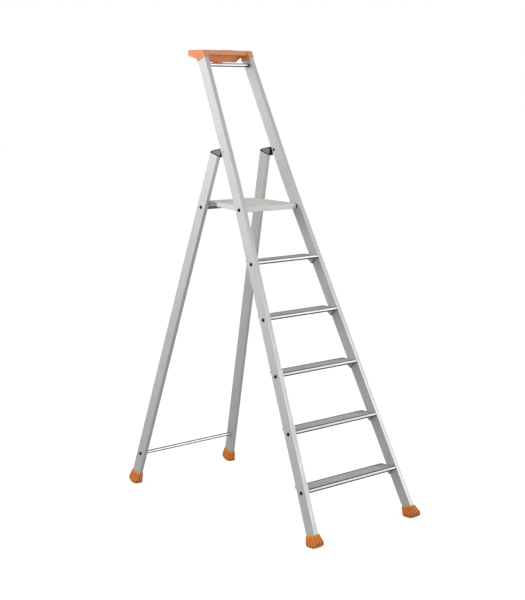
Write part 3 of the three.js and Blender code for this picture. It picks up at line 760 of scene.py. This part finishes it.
# Corners of (depth, along, radius) of the recess in each face of a hinge cap, and of the
# panel that lies in it.
RECESS = [
    (84.5, -30.5, 2.0), (83.0, -27.0, 2.0), (28.0, 1.5, 2.0), (22.5, -3.0, 2.0),
    (22.5, -30.5, 2.0),
]
PANEL = [(83.3, -29.7, 1.4), (81.8, -26.2, 1.4), (29.2, 0.3, 1.4), (23.7, -4.2, 1.4),
         (23.7, -29.7, 1.4)]
RECESS_DEPTH, RECESS_PAST = 1.6, 4.0     # from the cap's face, and how far the cut runs past
PANEL_BACK, PANEL_FACE = 1.55, 0.7       # from the cap's face
CAP_EDGE = 0.8 * MM


def between(face, first, second):
    """Two faces across a leg, as distances in from its outer (0) or inner (1) face."""
    if face == 0:
        return lambda q: LEG.outer(q) - first, lambda q: LEG.outer(q) - second
    return (lambda q: LEG.outer(q) - LEG.width + second,
            lambda q: LEG.outer(q) - LEG.width + first)


for word, side in SIDES.items():
    node = f"hinge_cap_{word}"
    cap = rounded(node, BLACK_PLASTIC, CAP_EDGE)
    for face, where in enumerate(("outer", "inner")):
        recess = bmesh.new()
        prism(recess, filleted(RECESS), side, *between(face, RECESS_DEPTH, -RECESS_PAST))
        carve(cap, recess)
        panel = bmesh.new()
        prism(panel, filleted(PANEL), side, *between(face, PANEL_BACK, PANEL_FACE))
        finished(f"hinge_cap_{word}_{where}_panel", panel, node, GREY_PLASTIC, replaces=False)

# Two rivets through each leg's top, as (radius, height) from the leg's face.
RIVET = [(0, -0.4), (2.0, -0.4), (3.2, 0.05), (3.1, 0.4), (2.4, 0.95), (1.3, 1.25), (0, 1.35)]
RIVET_DEPTHS = (LEG.depth[1] - 13, LEG.depth[0] + 11)
RIVET_ALONG = LEG_TOP - 19

for word, side in SIDES.items():
    for where, face, out in (("outer", 0.0, 1), ("inner", LEG.width, -1)):
        for number, depth in enumerate(RIVET_DEPTHS, 1):
            seat = LEG.at(side, LEG.outer(RIVET_ALONG) - face, depth, RIVET_ALONG)
            work = bmesh.new()
            lathe(work, [(r * MM, h * MM) for r, h in RIVET], seat, Vector((side * out, 0, 0)), 24)
            finished(f"leg_rivet_{where}_{number}_{word}", work, f"rear_leg_{word}", PIN_METAL,
                     replaces=False)


# ---- Shoes -------------------------------------------------------------------
def rounded_rectangle(half_a, half_b, radius, count):
    """Points and outward normals spaced evenly round a rounded rectangle, from its +a side."""
    straight_a, straight_b = half_a - radius, half_b - radius
    quarter = math.pi * radius / 2
    legs = [straight_b, quarter, 2 * straight_a, quarter, 2 * straight_b, quarter,
            2 * straight_a, quarter, straight_b]
    total = sum(legs)
    corners = [(straight_a, straight_b), (-straight_a, straight_b),
               (-straight_a, -straight_b), (straight_a, -straight_b)]
    starts = [(half_a, 0.0), None, (straight_a, half_b), None, (-half_a, straight_b), None,
              (-straight_a, -half_b), None, (half_a, -straight_b)]
    headings = [(0, 1), None, (-1, 0), None, (0, -1), None, (1, 0), None, (0, 1)]
    outward = [(1, 0), None, (0, 1), None, (-1, 0), None, (0, -1), None, (1, 0)]
    result = []
    for k in range(count):
        run = total * k / count
        leg = 0
        while run > legs[leg] and leg < len(legs) - 1:
            run -= legs[leg]
            leg += 1
        if leg % 2 == 0:
            (a, b), (da, db) = starts[leg], headings[leg]
            result.append(((a + da * run, b + db * run), outward[leg]))
        else:
            corner = leg // 2
            angle = corner * math.pi / 2 + run / radius
            normal = (math.cos(angle), math.sin(angle))
            a, b = corners[corner]
            result.append(((a + radius * normal[0], b + radius * normal[1]), normal))
    return result


FLUTES = 16
PER_FLUTE = 12                   # points of a ring to one flute
POCKET_CORNER, MOUTH_CORNER, RIM_CORNER = 1.2, 4.5, 13.0
POCKET_FIT = 0.3                 # clearance round the member and beyond its end
LIP = 4.0                        # width of the mouth's rim round the member
MOUTH_EDGE = 0.8                 # rounding of the mouth's outer edge
WALL_FOOT = 6.0                  # the wall's lower end, above the sole
WALL_BULGE = 0.8                 # below 1, the wall flares most near the mouth
# Faces' finishes: the rubber, its painted-shade copy, and the dark sole of dirt with painted
# shade.
RUBBER, GROOVE_SHADE, SOLE = range(3)

# The wall's rings: share of the way down, depth of the grooves, and how far the lands stand
# proud. The sole's rings: inset from the rim, height over the floor, and depth of the grooves.
WALL = [
    (0.10, 0.0, 0.0), (0.15, 1.2, 0.0), (0.20, 2.4, 0.0), (0.35, 2.4, 0.0), (0.50, 2.4, 0.0),
    (0.65, 2.4, 0.0), (0.76, 2.4, 0.0), (0.80, 3.4, 0.8), (0.90, 4.2, 1.6), (0.98, 4.2, 1.2),
]
FLUTED_BELOW = 0.15
TREADING = [
    (0.0, 5.2, 3.4), (-1.2, 4.4, 4.6), (-1.2, 2.2, 4.6), (0.6, 0.6, 3.6), (2.0, 0.0, 3.0),
]
UNDERSIDE_INSET = 6.0
UNDERSIDE = (0.95, 0.8, 0.4, 0.1)    # sizes of its rings, the outer two with lugs
LUGS_BEYOND = 0.5


def groove(k):
    """0 on a flute's land and 1 in the groove beside it, round the shoe."""
    return min(1.0, max(0.0, 0.2 - 1.1 * math.cos(2 * math.pi * k / PER_FLUTE)))


def shoe(node, side, member, mouth, span, toe, rock, heel, flare):
    """A fluted shoe: rings run from the pocket over the mouth and wall to the rocking sole.

    mouth is where the shoe ends along the member, at its front and at its back. span is the
    depths at which the rim starts and ends, and toe the way that the toe points along them.
    rock and heel are the depths at which the sole leaves the floor, with its turning radii.
    flare is how far the rim stands out across the member.
    """
    count = FLUTES * PER_FLUTE
    front, back = member.depth
    centre = (front + back) / 2
    fit = rounded_rectangle(
        member.width / 2 + POCKET_FIT, (back - front) / 2 + POCKET_FIT, POCKET_CORNER, count)
    lip = rounded_rectangle(member.width / 2 + LIP, (back - front) / 2 + LIP, MOUTH_CORNER, count)
    rim = rounded_rectangle(member.width / 2 + flare, (span[1] - span[0]) / 2, RIM_CORNER, count)
    rim_shift = (span[0] + span[1]) / 2 - centre

    def sole_height(d):
        """Height of the sole over the floor at a depth."""
        height = 0.0
        for way, (start, radius) in ((toe, rock), (-toe, heel)):
            over = min(max(0.0, way * (d - start)), 0.98 * radius)
            height += radius - math.sqrt(radius ** 2 - over ** 2)
        return height

    def top(d):
        """The mouth's place along the member at a distance from the member's middle."""
        past = centre + d - front + LIP
        return mouth[0] + (mouth[1] - mouth[0]) * past / (back - front + 2 * LIP)

    def pocket(size):
        """The bottom of the pocket that the member stands in."""
        return lambda k: (*[size * v for v in fit[k][0]], member.start - POCKET_FIT)

    def edge(outline, inset, drop):
        """The mouth's rim, in from an outline of it and down from its upper edge."""
        def point(k):
            (a, d), (na, nd) = outline[k]
            a, d = a - inset * na, d - inset * nd
            return a, d, top(d) - drop
        return point

    def wall(share, deep, proud):
        """The flared wall at a share of the way down from the mouth to the sole's edge."""
        def point(k):
            (a0, d0), (na, nd) = lip[k][0], rim[k][1]
            a1, d1 = rim[k][0][0], rim[k][0][1] + rim_shift
            cut = deep * groove(k) - proud
            end = member.floor(centre + d1) + WALL_FOOT + sole_height(centre + d1)
            return (
                a0 + (a1 - a0) * share ** WALL_BULGE - cut * na,
                d0 + (d1 - d0) * share ** WALL_BULGE - cut * nd,
                top(d0) - MOUTH_EDGE + (end - top(d0) + MOUTH_EDGE) * share,
            )
        return point

    def treading(inset, height, deep):
        """The lugs round the sole, where the grooves end higher than the lands."""
        def point(k):
            (a, d), (na, nd) = rim[k]
            cut = inset + deep * groove(k)
            a, d = a - cut * na, d + rim_shift - cut * nd
            rise = height + 1.5 * groove(k) * min(1.0, height)
            return a, d, member.floor(centre + d) + rise + sole_height(centre + d)
        return point

    def underside(size):
        def point(k):
            (a, d), (na, nd) = rim[k]
            a, d = (a - UNDERSIDE_INSET * na) * size, (d - UNDERSIDE_INSET * nd) * size + rim_shift
            return a, d, member.floor(centre + d) + sole_height(centre + d)
        return point

    # Each ring with the finishes of the band before it: on the lands, and in the grooves, where
    # the darker finishes are painted shade.
    plain, fluted, lugs, under = (RUBBER, RUBBER), (RUBBER, GROOVE_SHADE), (RUBBER, SOLE), (GROOVE_SHADE, SOLE)
    courses = [(pocket(0.1), plain), (pocket(1.0), plain)]
    courses += [(edge(fit, 0.0, 0.6), plain), (edge(fit, -0.6, 0.0), plain)]
    courses += [(edge(lip, MOUTH_EDGE, 0.0), plain), (edge(lip, 0.0, MOUTH_EDGE), plain)]
    courses += [(wall(*row), fluted if row[0] > FLUTED_BELOW else plain) for row in WALL]
    courses += [(treading(*row), lugs) for row in TREADING]
    courses += [(underside(size), lugs if size > LUGS_BEYOND else under) for size in UNDERSIDE]

    work = bmesh.new()
    rings = []
    for point_of, _ in courses:
        ring = []
        for across, d, along in map(point_of, range(count)):
            spot = member.at(side, member.middle(along) + across, centre + d, along)
            ring.append(work.verts.new(spot))
        rings.append(ring)
    for first, second, (_, finish) in zip(rings, rings[1:], courses[1:]):
        for k in range(count):
            j = (k + 1) % count
            face = work.faces.new((first[k], first[j], second[j], second[k]))
            face.material_index = finish[groove(k + 0.5) > 0.6]
    work.faces.new(rings[0])
    work.faces.new(rings[-1]).material_index = SOLE
    looks = (SHOE_RUBBER, SHOE_GROOVE_SHADE, SHOE_SOLE_DIRT_AND_SHADE)
    finished(node + "_surface", work, node, looks, smooth_under=50.0)


rear_mouth = LEG.floor(LEG.depth[0]) + 56.0
for word, side in SIDES.items():
    front, back = STILE.depth
    shoe(f"front_foot_{word}", side, STILE, mouth=(64.0, 71.0), span=(front - 18.5, back + 11.5),
         toe=-1, rock=(32.0, 56.6), heel=(48.0, 28.5), flare=11.0)
    front, back = LEG.depth
    shoe(f"rear_foot_{word}", side, LEG, mouth=(rear_mouth, rear_mouth),
         span=(front - 8.5, back + 12.5), toe=1, rock=(front + 9.0, 68.0),
         heel=(front - 1.0, 12.0), flare=10.0)


# ---- Tool tray ---------------------------------------------------------------
TRAY_EDGE = 0.9 * MM
rounded("tool_tray", ORANGE_PLASTIC, TRAY_EDGE)


# ---- Studio ------------------------------------------------------------------
FLOOR_RADIUS = 40.0
FLOOR_GLOW = 0.72                # strength of the floor's own light, which keeps it pale
SKY_ABOVE, SKY_BELOW = 0.64, 0.38
SKY_BLEND = (-0.4, 0.6)          # heights between which the sky changes from below to above

# A black flag: the part of the surroundings that is dimmed, and to what share.
FLAG_TOWARDS = (0.66, 0.74, 0.12)
FLAG_BLEND = (0.6, 0.96)         # cosines off its middle, at its edge and fully dimmed
FLAG_SHADE = 0.4

# The camera, in metres, as fitted to the object.
CAMERA_AT = (-4.1105, -4.6475, 1.9452)
CAMERA_AZIMUTH, CAMERA_ELEVATION = math.radians(-42.2513), math.radians(8.9428)
SENSOR_WIDTH, LENS = 36.0, 79.278
SHIFT_X, SHIFT_Y = -0.0368, 0.0035
FARTHEST = 200.0


def studio_floor():
    bpy.ops.mesh.primitive_circle_add(vertices=96, radius=FLOOR_RADIUS, fill_type="NGON")
    floor = bpy.context.object
    floor.name = "studio_floor"
    paint = Shader("studio_floor", (0.5, 0.5, 0.5), 0.75, specular=0.0)
    paint.roughness(paint.ranged(paint.noise(0.8, 2.0), 0.72, 0.78))
    paint.principled.inputs["Emission Color"].default_value = (1.0, 1.0, 1.0, 1.0)
    paint.principled.inputs["Emission Strength"].default_value = FLOOR_GLOW
    floor.data.materials.append(paint.material)
    floor.visible_diffuse = False
    floor.visible_glossy = False


def studio_surroundings():
    """Soft grey light from all round, with one dimmed patch, behind a plain white backdrop."""
    world = bpy.data.worlds.new("studio")
    world.use_nodes = True
    tree = world.node_tree

    def blend(value, source, target):
        mapped = tree.nodes.new("ShaderNodeMapRange")
        mapped.interpolation_type = "SMOOTHSTEP"
        for socket, number in zip(("From Min", "From Max", "To Min", "To Max"), source + target):
            mapped.inputs[socket].default_value = number
        tree.links.new(value, mapped.inputs["Value"])
        return mapped.outputs["Result"]

    direction = tree.nodes.new("ShaderNodeTexCoord").outputs["Generated"]
    axes = tree.nodes.new("ShaderNodeSeparateXYZ")
    tree.links.new(direction, axes.inputs["Vector"])
    facing = tree.nodes.new("ShaderNodeVectorMath")
    facing.operation = "DOT_PRODUCT"
    facing.inputs[1].default_value = Vector(FLAG_TOWARDS).normalized()
    tree.links.new(direction, facing.inputs[0])
    dimmed = tree.nodes.new("ShaderNodeMath")
    dimmed.operation = "MULTIPLY"
    sky = blend(axes.outputs["Z"], SKY_BLEND, (SKY_BELOW, SKY_ABOVE))
    flag = blend(facing.outputs["Value"], FLAG_BLEND, (1.0, FLAG_SHADE))
    tree.links.new(sky, dimmed.inputs[0])
    tree.links.new(flag, dimmed.inputs[1])

    light = tree.nodes["Background"]
    light.inputs["Strength"].default_value = 1.0
    tree.links.new(dimmed.outputs[0], light.inputs["Color"])
    backdrop = tree.nodes.new("ShaderNodeBackground")
    backdrop.inputs["Color"].default_value = (1.0, 1.0, 1.0, 1.0)
    seen = tree.nodes.new("ShaderNodeLightPath").outputs["Is Camera Ray"]
    choice = tree.nodes.new("ShaderNodeMixShader")
    tree.links.new(seen, choice.inputs[0])
    tree.links.new(light.outputs[0], choice.inputs[1])
    tree.links.new(backdrop.outputs[0], choice.inputs[2])
    tree.links.new(choice.outputs[0], tree.nodes["World Output"].inputs["Surface"])
    bpy.context.scene.world = world


def softbox(name, at, target, size, power):
    light = bpy.data.lights.new(name, "AREA")
    light.shape = "RECTANGLE"
    light.size, light.size_y = size
    light.energy = power
    lamp = bpy.data.objects.new(name, light)
    lamp.location = at
    lamp.rotation_euler = (Vector(target) - Vector(at)).to_track_quat("-Z", "Y").to_euler()
    bpy.context.scene.collection.objects.link(lamp)


def look_camera():
    back = Vector((
        math.sin(CAMERA_AZIMUTH) * math.cos(CAMERA_ELEVATION),
        -math.cos(CAMERA_AZIMUTH) * math.cos(CAMERA_ELEVATION),
        math.sin(CAMERA_ELEVATION),
    ))
    right = Vector((math.cos(CAMERA_AZIMUTH), math.sin(CAMERA_AZIMUTH), 0.0))
    turn = Matrix((right, back.cross(right), back)).transposed()
    data = bpy.data.cameras.new("camera")
    data.sensor_width = SENSOR_WIDTH
    data.lens = LENS
    data.shift_x = SHIFT_X
    data.shift_y = SHIFT_Y
    data.clip_end = FARTHEST
    camera = bpy.data.objects.new("camera", data)
    camera.matrix_world = Matrix.Translation(CAMERA_AT) @ turn.to_4x4()
    bpy.context.scene.collection.objects.link(camera)
    bpy.context.scene.camera = camera


studio_floor()
studio_surroundings()
softbox("key", at=(2.9, -3.0, 1.5), target=(0, -0.3, 1.05), size=(2.4, 2.4), power=39)
softbox("fill", at=(-3.6, 1.5, 3.0), target=(0, 0.1, 1.4), size=(3.6, 2.6), power=83)
look_camera()
bpy.context.scene.view_settings.view_transform = "Standard"
